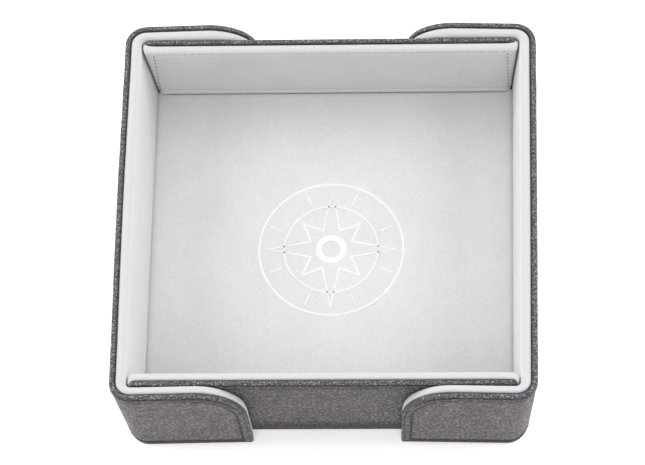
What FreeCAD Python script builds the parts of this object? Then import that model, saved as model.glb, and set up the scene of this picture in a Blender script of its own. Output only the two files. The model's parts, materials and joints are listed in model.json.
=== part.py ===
import FreeCAD, Part

# Folding dice tray: a velvet-lined leather tray whose two side walls carry rounded wings.
# The wings turn the corners and hold the front and back flaps upright.
# Frame: +Z up, +X to the right, +Y to the back, origin under the middle of the base.

import math
import os

import Sketcher
from FreeCAD import Placement, Rotation, Vector

# ---------------------------------------------------------------- driving dimensions (mm, degrees)
DRIVING = {
    "TrayWidth": 204.0,        # across the side walls at the rim
    "TrayHeight": 51.7,        # rim above the table
    "WallSpread": 4.65,        # how far a side wall leans out between foot and rim
    "FlapSlope": 1.7,          # how far a flap and the wings on it lean in, in degrees
    "WingDroop": 2.5,          # how far a wing dips from square to its wall, in degrees
    "Skin": 1.0,               # leather of the walls
    "Board": 2.0,              # greyboard of the walls
    "WallLining": 4.8,         # foam-backed velvet on a side wall
    "FlapLining": 4.2,         # the same on a flap
    "WingLining": 4.2,         # the same on a wing
    "FloorSkin": 1.0,
    "FloorBoard": 2.0,
    "FloorLining": 2.5,
    "CornerRound": 10.5,       # outside radius of the wall at a tray corner
    "FootRound": 6.0,          # outside radius of the leather at the foot of a wall
    "CornerLiningRound": 4.8,  # inside radius of the lining at a tray corner
    "CreaseRound": 0.5,        # inside radius of the lining at the foot of a side wall
    "FlapFace": 93.8,          # outside face of a flap at the rim, from the middle
    "FlapFoot": 8.5,           # where the stiff part of a flap starts
    "FlapCore": 88.8,          # half width of the stiff part of a flap
    "HemGap": 0.6,             # between a flap's soft hem and the side wall
    "WingGap": 0.4,            # between a flap and the wing outside it
    "WingReach": 61.7,         # free end of a wing from the outside of its wall
    "EndRound": 24.0,          # radius of a wing's rounded upper end
    "BeadRound": 0.8,          # rounding of the leather along the rim
    "LiningInset": 0.6,        # step from the leather's edge to the velvet's edge
    "LiningRound": 1.8,        # rounding of the velvet's free edges
    "StitchInset": 4.1,        # leather's edge to the near side of the stitching
    "StitchWidth": 0.6,
    "StitchHeight": 0.35,
    "StitchSunk": 0.2,         # the same on the soft lining, where the thread sinks in
    "StitchFoot": 1.0,         # end of the stitching above a free or folded lower edge
    "MagnetRadius": 5.0,
    "MagnetThickness": 1.8,
    "MagnetHole": 5.1,         # radius of the hole in the board
    "MagnetAcross": 50.0,      # magnets from the middle of the tray
    "MagnetLow": 16.0,         # lower magnet above the table
    "MagnetHigh": 37.0,        # upper magnet above the table
}


def cosine(degrees):
    return math.cos(math.radians(degrees))


def sine(degrees):
    return math.sin(math.radians(degrees))


def tangent(degrees):
    return math.tan(math.radians(degrees))


def worked_out(d):
    """Sizes that follow from the driving ones."""
    lean = math.degrees(math.atan(d["WallSpread"] / d["TrayHeight"]))
    turn = 90 - lean
    slope = d["FlapSlope"]
    droop = d["WingDroop"]
    rim = d["Skin"] + d["Board"]
    half = d["TrayWidth"] / 2
    toe = half - d["WallSpread"]
    foot = d["FootRound"] * tangent(turn / 2)
    wall_depth = rim + d["WallLining"]
    flap_depth = rim + d["FlapLining"]
    wing_depth = rim + d["WingLining"]
    flap_toe = d["FlapFace"] + d["TrayHeight"] * tangent(slope)
    wall_top = d["TrayHeight"] / cosine(lean)
    floor_top = d["FloorSkin"] + d["FloorBoard"] + d["FloorLining"]

    def wall_inside(height):
        """Distance of a side wall's lining from the middle, at one height."""
        return toe + height * tangent(lean) - wall_depth / cosine(lean)

    def on_flap(depth, up):
        """A spot inside a flap, from the outer edge of its foot, seen from its end."""
        return depth * cosine(slope) + up * sine(slope), up * cosine(slope) - depth * sine(slope)

    skin_top = on_flap(d["Skin"], d["FlapFoot"])
    lining_top = on_flap(flap_depth, d["FlapFoot"])
    face_top = on_flap(0.0, d["FlapFoot"])
    reach = toe - d["MagnetAcross"]
    tilt = lean - droop
    return {
        "WallLean": lean,
        "FoldTurn": turn,
        "Rim": rim,
        "HalfWidth": half,
        "WallToe": toe,
        "WallTop": wall_top,
        "WallFoot": foot,
        "WallEnd": half - d["CornerRound"],
        "FloorHalfWidth": toe - foot,
        "FloorHalfDepth": flap_toe - d["FootRound"],
        "FloorTop": floor_top,
        "FlapToe": flap_toe,
        "FlapTop": d["TrayHeight"] / cosine(slope),
        "FlapDepth": flap_depth,
        "WingToe": flap_toe + (d["WingGap"] + wing_depth) / cosine(slope),
        "WingRootLow": d["CornerRound"] / cosine(droop),
        "WingRootHigh": d["CornerRound"] / cosine(droop) - wall_top * tangent(droop),
        "HemLow": wall_inside(d["FlapFoot"]) - d["HemGap"],
        "HemHigh": wall_inside(d["TrayHeight"]) - d["HemGap"],
        "FoldFaceX": face_top[0],
        "FoldFaceY": face_top[1],
        "FoldSkinX": skin_top[0],
        "FoldSkinY": skin_top[1],
        "FoldLiningX": lining_top[0],
        "FoldLiningY": lining_top[1],
        "FoldInnerX": (d["Skin"] + d["FloorSkin"] * sine(slope)) / cosine(slope),
        "FoldInnerRound": d["FootRound"] - d["Skin"],
        "CreaseX": (flap_depth + floor_top * sine(slope)) / cosine(slope),
        "WingMagnetHighX": reach * cosine(tilt) + d["MagnetHigh"] * sine(tilt),
        "WingMagnetHighY": d["MagnetHigh"] * cosine(tilt) - reach * sine(tilt),
        "WingMagnetLowX": reach * cosine(tilt) + d["MagnetLow"] * sine(tilt),
        "WingMagnetLowY": d["MagnetLow"] * cosine(tilt) - reach * sine(tilt),
    }


SIZES = dict(DRIVING)
SIZES.update(worked_out(DRIVING))

doc = FreeCAD.newDocument("FoldingDiceTray")
sheet = doc.addObject("Spreadsheet::Sheet", "Sizes")
for row, (alias, value) in enumerate(SIZES.items(), start=1):
    sheet.set("A%d" % row, alias)
    sheet.set("B%d" % row, "%.6f" % value)
    sheet.setAlias("B%d" % row, alias)
doc.recompute()


# ---------------------------------------------------------------- reading sums such as "Rim + Skin"
def terms(text):
    """Split a sum of sheet names into (sign, name) pairs."""
    found = []
    sign = 1
    for word in text.split():
        if word == "-":
            sign = -1
        elif word == "+":
            sign = 1
        else:
            found.append((sign, word))
            sign = 1
    return found


def amount(text):
    """The value of a sum of sheet names; 0 is the only number that may stand in it."""
    return sum(sign * SIZES[name] for sign, name in terms(text) if name != "0")


def formula(text, flip=1):
    """The same sum as an expression on the sheet, its sign turned where flip is -1."""
    parts = ["%s Sizes.%s" % ("+" if sign * flip > 0 else "-", name) for sign, name in terms(text)]
    return " ".join(parts).lstrip("+ ")


def negated(text):
    """The same sum with every sign turned."""
    return " ".join("%s %s" % ("-" if sign > 0 else "+", name) for sign, name in terms(text))


def bind(thing, prop, text, flip=1):
    thing.setExpression(prop, formula(text, flip))


# ---------------------------------------------------------------- sketches
def new_body(label, place):
    body = doc.addObject("PartDesign::Body", label)
    body.Label = label
    body.AllowCompound = True
    body.Placement = place
    return body


def new_sketch(body, name, height=None):
    """A sketch on the body's XY plane, raised by the named height."""
    plane = [item for item in body.Origin.OriginFeatures if item.Role == "XY_Plane"][0]
    sketch = body.newObject("Sketcher::SketchObject", body.Name + name)
    sketch.AttachmentSupport = [(plane, "")]
    sketch.MapMode = "FlatFace"
    if height:
        bind(sketch, "AttachmentOffset.Base.z", height)
    return sketch


def pin_point(sketch, shape, end, corner, mirror):
    """Hold one point of a sketch at the named x and y."""
    for axis, kind, text, flip in ((-2, "DistanceX", corner[0], mirror), (-1, "DistanceY", corner[1], 1)):
        if text == "0":
            sketch.addConstraint(Sketcher.Constraint("PointOnObject", shape, end, axis))
            continue
        value = flip * amount(text)
        index = sketch.addConstraint(Sketcher.Constraint(kind, -1, 1, shape, end, value))
        bind(sketch, "Constraints[%d]" % index, text, flip)


def add_outline(sketch, corners, mirror=1):
    """Draw one closed outline. A corner is (x, y) or (x, y, radius); mirror=-1 flips it in x."""
    spots = [Vector(mirror * amount(c[0]), amount(c[1]), 0) for c in corners]
    area = sum(a.x * b.y - b.x * a.y for a, b in zip(spots, spots[1:] + spots[:1]))
    if area < 0:
        corners = corners[::-1]
        spots = spots[::-1]
    count = len(spots)
    arrive = []
    leave = []
    for i, spot in enumerate(spots):
        back = (spots[i - 1] - spot).normalize()
        ahead = (spots[(i + 1) % count] - spot).normalize()
        reach = 0.0
        if len(corners[i]) == 3:
            reach = amount(corners[i][2]) / math.tan(back.getAngle(ahead) / 2)
        arrive.append(spot + back * reach)
        leave.append(spot + ahead * reach)
    sides = [sketch.addGeometry(Part.LineSegment(leave[i], arrive[(i + 1) % count]), False)
             for i in range(count)]
    for i, corner in enumerate(corners):
        before = sides[i - 1]
        after = sides[i]
        if len(corner) == 2:
            sketch.addConstraint(Sketcher.Constraint("Coincident", before, 2, after, 1))
            pin_point(sketch, after, 1, corner, mirror)
            continue
        add_round(sketch, before, after, arrive[i], leave[i], spots[i], corner, mirror)


def add_round(sketch, before, after, start, stop, spot, corner, mirror):
    """Round one corner of an outline with a tangent arc; the sharp corner stays as a guide point."""
    radius = amount(corner[2])
    incoming = (spot - start).normalize()
    outgoing = (stop - spot).normalize()
    left_turn = incoming.cross(outgoing).z > 0
    across = Vector(-incoming.y, incoming.x, 0) * (radius if left_turn else -radius)
    middle = start + across
    first, last = (start, stop) if left_turn else (stop, start)
    angle_first = math.atan2(first.y - middle.y, first.x - middle.x)
    angle_last = math.atan2(last.y - middle.y, last.x - middle.x)
    circle = Part.Circle(middle, Vector(0, 0, 1), radius)
    arc = sketch.addGeometry(Part.ArcOfCircle(circle, angle_first, angle_last), False)
    near, far = (1, 2) if left_turn else (2, 1)
    sketch.addConstraint(Sketcher.Constraint("Tangent", before, 2, arc, near))
    sketch.addConstraint(Sketcher.Constraint("Tangent", after, 1, arc, far))
    index = sketch.addConstraint(Sketcher.Constraint("Radius", arc, radius))
    bind(sketch, "Constraints[%d]" % index, corner[2])
    guide = sketch.addGeometry(Part.Point(spot), True)
    sketch.addConstraint(Sketcher.Constraint("PointOnObject", guide, 1, before))
    sketch.addConstraint(Sketcher.Constraint("PointOnObject", guide, 1, after))
    pin_point(sketch, guide, 1, corner, mirror)


def add_circle(sketch, x, y, radius, mirror=1):
    spot = Vector(mirror * amount(x), amount(y), 0)
    circle = sketch.addGeometry(Part.Circle(spot, Vector(0, 0, 1), amount(radius)), False)
    index = sketch.addConstraint(Sketcher.Constraint("Radius", circle, amount(radius)))
    bind(sketch, "Constraints[%d]" % index, radius)
    pin_point(sketch, circle, 3, (x, y), mirror)


def extrude(body, kind, sketch, length, reverse=False):
    """A Pad or a Pocket of a sketch."""
    feature = body.newObject("PartDesign::" + kind, sketch.Name + kind)
    feature.Profile = sketch
    feature.Reversed = reverse
    bind(feature, "Length", length)
    sketch.Visibility = False
    body.Tip = feature
    return feature


def round_edges(body, feature, radius, wanted):
    """Fillet the edges of a feature whose two ends and middle all pass the test."""
    doc.recompute()
    names = []
    for number, edge in enumerate(feature.Shape.Edges, start=1):
        middle = edge.valueAt((edge.FirstParameter + edge.LastParameter) / 2)
        if all(wanted(point) for point in [v.Point for v in edge.Vertexes] + [middle]):
            names.append("Edge%d" % number)
    fillet = body.newObject("PartDesign::Fillet", feature.Name + "Round")
    fillet.Base = (feature, names)
    bind(fillet, "Radius", radius)
    body.Tip = fillet
    return fillet


def near(a, b):
    return abs(a - b) < 1e-4


# ---------------------------------------------------------------- where each panel stands
HALF_TURN = Placement(Vector(0, 0, 0), Rotation(Vector(0, 0, 1), 180))
LEAN = SIZES["WallLean"]
SLOPE = SIZES["FlapSlope"]


def frame(origin, x_axis, y_axis, z_axis):
    return Placement(Vector(*origin), Rotation(Vector(*x_axis), Vector(*y_axis), Vector(*z_axis), "ZXY"))


def turned(place, turn):
    """The same place after half a turn of the whole tray, where turn is true."""
    return HALF_TURN.multiply(place) if turn else place


# In the frame of every panel, x runs along it, y up it, and z from its leather to its lining.
def wall_frame(side):
    left = frame((-SIZES["WallToe"], 0, 0), (0, 1, 0), (-sine(LEAN), 0, cosine(LEAN)),
                 (cosine(LEAN), 0, sine(LEAN)))
    return turned(left, side == "right")


def flap_frame(end):
    front = frame((0, -SIZES["FlapToe"], 0), (-1, 0, 0), (0, sine(SLOPE), cosine(SLOPE)),
                  (0, cosine(SLOPE), -sine(SLOPE)))
    return turned(front, end == "back")


def wing_hand(end, side):
    """+1 for the wings at front left and back right, -1 for the other two."""
    return 1 if (end == "front") == (side == "left") else -1


def wing_frame(end, side):
    hand = wing_hand(end, side)
    upright = frame((-hand * SIZES["WallToe"], -SIZES["WingToe"], 0),
                    (-cosine(LEAN), 0, -hand * sine(LEAN)),
                    (-hand * sine(LEAN), 0, cosine(LEAN)), (0, 1, 0))
    tilt = Placement(Vector(0, 0, 0), Rotation(Vector(1, 0, 0), SLOPE))
    droop = Placement(Vector(0, 0, 0), Rotation(Vector(0, 0, 1), hand * SIZES["WingDroop"]))
    return turned(upright.multiply(tilt).multiply(droop), end == "back")


def corner_frame(end, side):
    """At the middle of a corner's rounding, z up the lean, its quarter between +x and +y."""
    hand = wing_hand(end, side)
    inward = (cosine(LEAN) * hand, 0, sine(LEAN))
    up = (-hand * sine(LEAN), 0, cosine(LEAN))
    if hand > 0:
        axes = (inward, (0, 1, 0), up)
    else:
        axes = ((0, 1, 0), inward, up)
    corner = frame((-hand * SIZES["WallToe"], -SIZES["HalfWidth"], 0), *axes)
    round_middle = Vector(SIZES["CornerRound"], SIZES["CornerRound"], 0)
    middle = Placement(round_middle, Rotation(Vector(0, 0, 1), 180))
    return turned(corner.multiply(middle), end == "back")


def wall_fold_frame(side):
    """On the axis of a side wall's foot rounding, z along it, from straight down (x) outward (y)."""
    left = frame((-SIZES["FloorHalfWidth"], -SIZES["FloorHalfDepth"], SIZES["FootRound"]),
                 (0, 0, -1), (-1, 0, 0), (0, 1, 0))
    return turned(left, side == "right")


def flap_fold_frame(end):
    """At the outer edge of a flap's foot: x inward, y up, z along the fold."""
    front = frame((-SIZES["HemLow"], -SIZES["FlapToe"], 0), (0, 1, 0), (0, 0, 1), (1, 0, 0))
    return turned(front, end == "back")


# ---------------------------------------------------------------- base
FLAT = Placement()
FLOOR = [("- FloorHalfWidth", "- FloorHalfDepth"), ("FloorHalfWidth", "- FloorHalfDepth"),
         ("FloorHalfWidth", "FloorHalfDepth"), ("- FloorHalfWidth", "FloorHalfDepth")]


def floor_layer(label, bottom, thickness):
    body = new_body(label, FLAT)
    sketch = new_sketch(body, "Outline", bottom)
    add_outline(sketch, FLOOR)
    extrude(body, "Pad", sketch, thickness)
    return body


def make_base():
    return [floor_layer("base_leather", None, "FloorSkin"),
            floor_layer("base_board", "FloorSkin", "FloorBoard"),
            floor_layer("base_velvet", "FloorSkin + FloorBoard", "FloorLining")]


# ---------------------------------------------------------------- straight panels: walls and flaps
def rectangle(half, low, high):
    return [(negated(half), low), (half, low), (half, high), (negated(half), high)]


def magnet_spots(panel):
    if panel == "wing":
        return [("WingMagnetLowX", "WingMagnetLowY"), ("WingMagnetHighX", "WingMagnetHighY")]
    return [(sign + "MagnetAcross", up) for sign in ("", "- ") for up in ("MagnetLow", "MagnetHigh")]


def make_magnets(label, place, spots, mirror=1):
    """Flat round magnets let into the board."""
    body = new_body(label, place)
    sketch = new_sketch(body, "Discs", "Skin")
    for x, y in spots:
        add_circle(sketch, x, y, "MagnetRadius", mirror)
    extrude(body, "Pad", sketch, "MagnetThickness")
    return body


def straight_leather(label, place, half, foot, top):
    """The skin over the outside, turned over the top edge of the board; open at foot and ends."""
    body = new_body(label, place)
    skin = new_sketch(body, "Outline")
    add_outline(skin, rectangle(half, foot, top))
    extrude(body, "Pad", skin, "Rim")
    room = new_sketch(body, "BoardRoom", "Rim")
    add_outline(room, rectangle(half + " + Skin", foot + " - Skin", top + " - Skin"))
    pocket = extrude(body, "Pocket", room, "Board")
    rim = amount(top)
    round_edges(body, pocket, "BeadRound", lambda p: near(p.y, rim) and near(p.z, 0))
    return body


def straight_board(label, place, half, foot, top, spots):
    body = new_body(label, place)
    sketch = new_sketch(body, "Outline", "Skin")
    add_outline(sketch, rectangle(half, foot, top + " - Skin"))
    for x, y in spots:
        add_circle(sketch, x, y, "MagnetHole")
    extrude(body, "Pad", sketch, "Board")
    return body


def straight_velvet(label, place, half, foot, top, lining):
    body = new_body(label, place)
    sketch = new_sketch(body, "Outline", "Rim")
    add_outline(sketch, rectangle(half, foot, top + " - LiningInset"))
    pad = extrude(body, "Pad", sketch, lining)
    edge = amount(top + " - LiningInset")
    face = amount("Rim + " + lining)
    round_edges(body, pad, "LiningRound", lambda p: near(p.y, edge) and near(p.z, face))
    return body


def wall_stitching(label, place):
    """One row of thread along the outside, under the rim."""
    body = new_body(label, place)
    row = new_sketch(body, "Row")
    low = "WallTop - StitchInset - StitchWidth"
    add_outline(row, rectangle("WallEnd", low, "WallTop - StitchInset"))
    extrude(body, "Pad", row, "StitchHeight", reverse=True)
    return body


def flap_stitching(label, place):
    """A closed row of thread round the flap, seen on both of its faces."""
    body = new_body(label, place)
    for name, height, thick, reverse in (("Outside", None, "StitchHeight", True),
                                         ("Inside", "FlapDepth", "StitchSunk", False)):
        row = new_sketch(body, name, height)
        add_outline(row, rectangle("FlapCore", "FlapFoot + StitchFoot", "FlapTop - StitchInset"))
        add_outline(row, rectangle("FlapCore - StitchWidth", "FlapFoot + StitchFoot + StitchWidth",
                                   "FlapTop - StitchInset - StitchWidth"))
        extrude(body, "Pad", row, thick, reverse)
    return body


def flap_hems(label, place):
    """The sewn margins outside the end stitching, cut to the lean of the side walls."""
    body = new_body(label, place)
    sketch = new_sketch(body, "Margins")
    for mirror in (1, -1):
        add_outline(sketch, [("FlapCore", "FlapFoot"), ("HemLow", "FlapFoot"),
                             ("HemHigh", "FlapTop"), ("FlapCore", "FlapTop")], mirror)
    extrude(body, "Pad", sketch, "FlapDepth")
    return body


def make_wall(side):
    place = wall_frame(side)
    name = side + "_wall_"
    size = ("WallEnd", "WallFoot", "WallTop")
    return [straight_leather(name + "leather", place, *size),
            straight_board(name + "board", place, *size, []),
            straight_velvet(name + "velvet", place, *size, "WallLining"),
            wall_stitching(name + "stitching", place)]


def make_flap(end):
    place = flap_frame(end)
    name = end + "_flap_"
    size = ("FlapCore", "FlapFoot", "FlapTop")
    spots = magnet_spots("flap")
    return [straight_leather(name + "leather", place, *size),
            straight_board(name + "board", place, *size, spots),
            straight_velvet(name + "velvet", place, *size, "FlapLining"),
            make_magnets(name + "magnets", place, spots),
            flap_stitching(name + "stitching", place),
            flap_hems(name + "hems", place)]


# ---------------------------------------------------------------- wings
def wing_leather(label, place, mirror):
    """The skin over the outside, turned over the board's edges except at the root."""
    body = new_body(label, place)
    skin = new_sketch(body, "Outline")
    add_outline(skin, [("WingRootLow", "0"), ("WingReach", "0"), ("WingReach", "WallTop", "EndRound"),
                       ("WingRootHigh", "WallTop")], mirror)
    extrude(body, "Pad", skin, "Rim")
    room = new_sketch(body, "BoardRoom", "Rim")
    add_outline(room, [("WingRootHigh - Skin", "Skin"), ("WingReach - Skin", "Skin"),
                       ("WingReach - Skin", "WallTop - Skin", "EndRound - Skin"),
                       ("WingRootHigh - Skin", "WallTop - Skin")], mirror)
    pocket = extrude(body, "Pocket", room, "Board")
    root = amount("WingRootLow")
    round_edges(body, pocket, "BeadRound",
                lambda p: near(p.z, 0) and p.y > 1 and (abs(p.x) > root or near(p.y, amount("WallTop"))))
    return body


def inset_wing(body, name, height, inset, mirror):
    """A wing's outline drawn in from its free edges and square at the root."""
    sketch = new_sketch(body, name, height)
    add_outline(sketch, [("WingRootLow", inset), ("WingReach - " + inset, inset),
                         ("WingReach - " + inset, "WallTop - " + inset, "EndRound - " + inset),
                         ("WingRootLow", "WallTop - " + inset)], mirror)
    return sketch


def wing_board(label, place, mirror):
    body = new_body(label, place)
    sketch = inset_wing(body, "Outline", "Skin", "Skin", mirror)
    for x, y in magnet_spots("wing"):
        add_circle(sketch, x, y, "MagnetHole", mirror)
    extrude(body, "Pad", sketch, "Board")
    return body


def wing_velvet(label, place, mirror):
    body = new_body(label, place)
    sketch = inset_wing(body, "Outline", "Rim", "LiningInset", mirror)
    pad = extrude(body, "Pad", sketch, "WingLining")
    root = amount("WingRootLow")
    face = amount("Rim + WingLining")
    round_edges(body, pad, "LiningRound", lambda p: near(p.z, face) and (abs(p.x) > root + 1 or p.y > 30))
    return body


def wing_stitching(label, place, mirror):
    """A row of thread under the rim, round the end and down to the lower edge."""
    body = new_body(label, place)
    row = new_sketch(body, "Row")
    outer = "StitchInset"
    inner = "StitchInset - StitchWidth"
    add_outline(row, [("WingRootLow", "WallTop - " + outer),
                      ("WingReach - " + outer, "WallTop - " + outer, "EndRound - " + outer),
                      ("WingReach - " + outer, "StitchFoot"), ("WingReach - " + inner, "StitchFoot"),
                      ("WingReach - " + inner, "WallTop - " + inner, "EndRound - " + inner),
                      ("WingRootLow", "WallTop - " + inner)], mirror)
    extrude(body, "Pad", row, "StitchHeight", reverse=True)
    return body


def make_wing(end, side):
    place = wing_frame(end, side)
    mirror = -wing_hand(end, side)
    name = "%s_%s_wing_" % (end, side)
    return [wing_leather(name + "leather", place, mirror),
            wing_board(name + "board", place, mirror),
            wing_velvet(name + "velvet", place, mirror),
            make_magnets(name + "magnets", place, magnet_spots("wing"), mirror),
            wing_stitching(name + "stitching", place, mirror)]


# ---------------------------------------------------------------- folds
def sector(name, radius, height, angle=None):
    """A wedge of a cylinder about its own z axis, a quarter where no angle is named."""
    wedge = doc.addObject("Part::Cylinder", name)
    bind(wedge, "Radius", radius)
    bind(wedge, "Height", height)
    if angle:
        bind(wedge, "Angle", angle)
    else:
        wedge.Angle = 90
    return wedge


def cut(label, base, tool):
    piece = doc.addObject("Part::Cut", label)
    piece.Label = label
    piece.Base = base
    piece.Tool = tool
    return piece


def make_corner(end, side):
    """The soft corner: skin with its turned edge along the rim, and the lining inside it."""
    name = "%s_%s_corner_" % (end, side)
    place = corner_frame(end, side)
    skin = cut(name + "skin", sector(name + "skin_out", "CornerRound", "WallTop"),
               sector(name + "skin_in", "CornerRound - Skin", "WallTop"))
    hem = cut(name + "hem", sector(name + "hem_out", "CornerRound", "Skin"),
              sector(name + "hem_in", "CornerRound - Rim", "Skin"))
    bind(hem, "Placement.Base.z", "WallTop - Skin")
    leather = doc.addObject("Part::Fuse", name + "leather")
    leather.Label = name + "leather"
    leather.Base = skin
    leather.Tool = hem
    leather.Placement = place
    block = cut(name + "block", sector(name + "room", "CornerRound", "WallTop"),
                sector(name + "hollow", "CornerLiningRound", "WallTop"))
    velvet = cut(name + "velvet", cut(name + "inner", block, skin), hem)
    velvet.Placement = place
    return [leather, velvet]


def make_wall_fold(side):
    """The flexible foot of a side wall: skin outside, lining pressed into the fold."""
    name = side + "_fold_"
    place = wall_fold_frame(side)
    span = "FloorHalfDepth + FloorHalfDepth"
    pieces = []
    for layer, outer, inner in (("leather", "FootRound", "FootRound - Skin"),
                                ("velvet", "FootRound - Skin", "CreaseRound")):
        piece = cut(name + layer, sector(name + layer + "_out", outer, span, "FoldTurn"),
                    sector(name + layer + "_in", inner, span, "FoldTurn"))
        piece.Placement = place
        pieces.append(piece)
    return pieces


def make_flap_fold(end):
    """The flexible foot of a flap, up to where its stiff part starts."""
    name = end + "_fold_"
    place = flap_fold_frame(end)
    layers = {
        "leather": [("FootRound", "0"), ("0", "0", "FootRound - Skin"), ("FoldFaceX", "FoldFaceY"),
                    ("FoldSkinX", "FoldSkinY"), ("FoldInnerX", "FloorSkin", "FoldInnerRound - Skin"),
                    ("FootRound", "FloorSkin")],
        "velvet": [("FootRound", "FloorSkin"), ("FoldInnerX", "FloorSkin", "FoldInnerRound - Skin"),
                   ("FoldSkinX", "FoldSkinY"), ("FoldLiningX", "FoldLiningY"), ("CreaseX", "FloorTop"),
                   ("FootRound", "FloorTop")],
    }
    pieces = []
    for layer, corners in layers.items():
        body = new_body(name + layer, place)
        sketch = new_sketch(body, "Section")
        add_outline(sketch, corners)
        extrude(body, "Pad", sketch, "HemLow + HemLow")
        pieces.append(body)
    return pieces


# ---------------------------------------------------------------- build, check and write
nodes = make_base()
for wall_side in ("left", "right"):
    nodes += make_wall(wall_side)
    nodes += make_wall_fold(wall_side)
for flap_end in ("front", "back"):
    nodes += make_flap(flap_end)
    nodes += make_flap_fold(flap_end)
    for wall_side in ("left", "right"):
        nodes += make_wing(flap_end, wall_side)
        nodes += make_corner(flap_end, wall_side)
doc.recompute()

for thing in doc.Objects:
    if "Invalid" in thing.State or "Error" in thing.State:
        raise RuntimeError("%s did not compute: %s" % (thing.Label, thing.State))
for node in nodes:
    if node.Shape.isNull() or not node.Shape.isValid() or not node.Shape.Solids:
        raise RuntimeError("%s has no valid solid" % node.Label)

os.makedirs("parts", exist_ok=True)
for node in nodes:
    node.Shape.exportStep("parts/%s.step" % node.Label)
whole = FreeCAD.BoundBox()
for node in nodes:
    whole.add(node.Shape.BoundBox)
print("%d nodes, box %.2f..%.2f  %.2f..%.2f  %.2f..%.2f" % (
    len(nodes), whole.XMin, whole.XMax, whole.YMin, whole.YMax, whole.ZMin, whole.ZMax))
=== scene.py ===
import json
import math

import bmesh
import bpy
import numpy as np
from mathutils import Matrix, Vector


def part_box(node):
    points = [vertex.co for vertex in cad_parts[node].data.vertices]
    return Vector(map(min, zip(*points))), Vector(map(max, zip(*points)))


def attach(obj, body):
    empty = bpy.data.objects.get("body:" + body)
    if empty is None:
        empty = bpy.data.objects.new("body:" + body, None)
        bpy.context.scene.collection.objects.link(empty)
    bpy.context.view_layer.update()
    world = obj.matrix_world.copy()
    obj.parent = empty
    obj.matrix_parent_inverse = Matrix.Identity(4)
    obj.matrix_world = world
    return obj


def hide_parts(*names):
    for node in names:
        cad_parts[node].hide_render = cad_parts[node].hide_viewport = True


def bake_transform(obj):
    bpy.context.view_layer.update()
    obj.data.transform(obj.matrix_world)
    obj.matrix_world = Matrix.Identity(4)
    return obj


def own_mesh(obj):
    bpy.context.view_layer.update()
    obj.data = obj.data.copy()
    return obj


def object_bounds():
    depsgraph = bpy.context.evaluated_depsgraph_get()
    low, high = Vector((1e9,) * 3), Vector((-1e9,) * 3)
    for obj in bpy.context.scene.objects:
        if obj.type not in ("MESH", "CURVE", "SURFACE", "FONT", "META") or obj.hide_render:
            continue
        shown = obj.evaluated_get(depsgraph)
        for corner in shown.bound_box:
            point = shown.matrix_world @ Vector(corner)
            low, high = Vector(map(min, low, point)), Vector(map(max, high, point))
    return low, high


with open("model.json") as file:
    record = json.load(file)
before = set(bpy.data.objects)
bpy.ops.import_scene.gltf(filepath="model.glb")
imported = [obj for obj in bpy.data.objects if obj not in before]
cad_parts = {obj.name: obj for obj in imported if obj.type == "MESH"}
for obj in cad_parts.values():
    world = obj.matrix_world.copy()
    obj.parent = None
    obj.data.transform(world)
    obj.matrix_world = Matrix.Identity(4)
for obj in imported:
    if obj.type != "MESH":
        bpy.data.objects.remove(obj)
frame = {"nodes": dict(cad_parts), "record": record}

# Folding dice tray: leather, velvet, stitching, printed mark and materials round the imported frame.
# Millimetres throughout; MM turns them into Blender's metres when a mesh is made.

MM = 0.001
CAD_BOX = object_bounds()
SIDES = {"left": -1, "right": 1}
ENDS = {"front": -1, "back": 1}
JOINTS = {joint["name"]: joint for joint in frame["record"]["behaviour"]["joints"]}

# ---------------------------------------------------------------- sizes
RIM_HEIGHT = 51.7          # rim above the table
SLOPE = math.radians(1.7)  # the flaps lean in
DROOP = math.radians(2.5)  # a wing dips from square to its wall
FOOT = 6.0                 # outside radius of the leather at a wall's foot
HEEL = 1.9                 # the same at a flap's foot
SKIN = 1.0                 # leather
RIM = 3.0                  # leather and board
CORNER = 10.5              # outside radius of a tray corner
WALL_DEPTH = 7.8           # leather, board and velvet of a side wall
FLAP_DEPTH = 7.2           # the same of a flap or a wing
WING_END = 24.0            # radius of a wing's rounded end
TOE_ROUND = 1.8            # radius of a wing's lower corner
FLAP_ROUND = 2.6           # radius of a flap's upper corners
FLOOR_TOP = 5.5            # top of the velvet on the floor
BOARD_TOP = 3.0            # top of the board under it
BOW = {-1: 0.5, 1: 0.1}    # how far the left and right rims bow out in their middles
STITCH_IN = 4.5            # middle of a row of stitches from the edge
INNER_IN = 2.9             # the same for the top row inside a flap
FLAP_LOW_ROW = 9.5         # lower row of a flap's stitches above its foot
WING_LOW_ROW = 3.0         # the same on a wing

LEAN = math.radians(90 - JOINTS["left_wall_fold"]["range_deg"][1])
SIN, COS = math.sin(LEAN), math.cos(LEAN)
FLOOR_X, FLOOR_Y = [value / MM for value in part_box("base_leather")[1][:2]]
HALF = CAD_BOX[1][0] / MM
TOE = HALF - RIM_HEIGHT * math.tan(LEAN)
WALL_TOP = RIM_HEIGHT / COS
WALL_END = HALF - CORNER
SEAM = FLOOR_Y - 0.03                       # where a wall's pieces meet the corner's
ROUND_END = WALL_END + CORNER * math.pi / 2   # end of the corner along the strip
WING_REACH = 51.2                           # a wing's length beyond the corner
STRIP_END = ROUND_END + WING_REACH
FLAP_TOE = FLOOR_Y + FOOT
FLAP_TOP = RIM_HEIGHT / math.cos(SLOPE)
WING_SET = 0.94                             # a wing's foot stands this far outside the wall's end
CORE = 88.0                                 # end rows of a flap's stitches from its middle
STIFF = 8.5                                 # height where the stiff part of a flap starts
HEM_LOW, HEM_HIGH = 90.0, 93.8              # a flap's half width there and at the rim
HEM_RISE = (HEM_HIGH - HEM_LOW) / (FLAP_TOP - STIFF)
HEM_FOOT = 5.85                             # lower end of the soft hems
FLOOR_SEAM = 87.5                           # where the floor's velvet meets the wall's
FOOT_WALL = FOOT * math.tan((math.pi / 2 - LEAN) / 2)      # height where a wall's foot rounding ends
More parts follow.
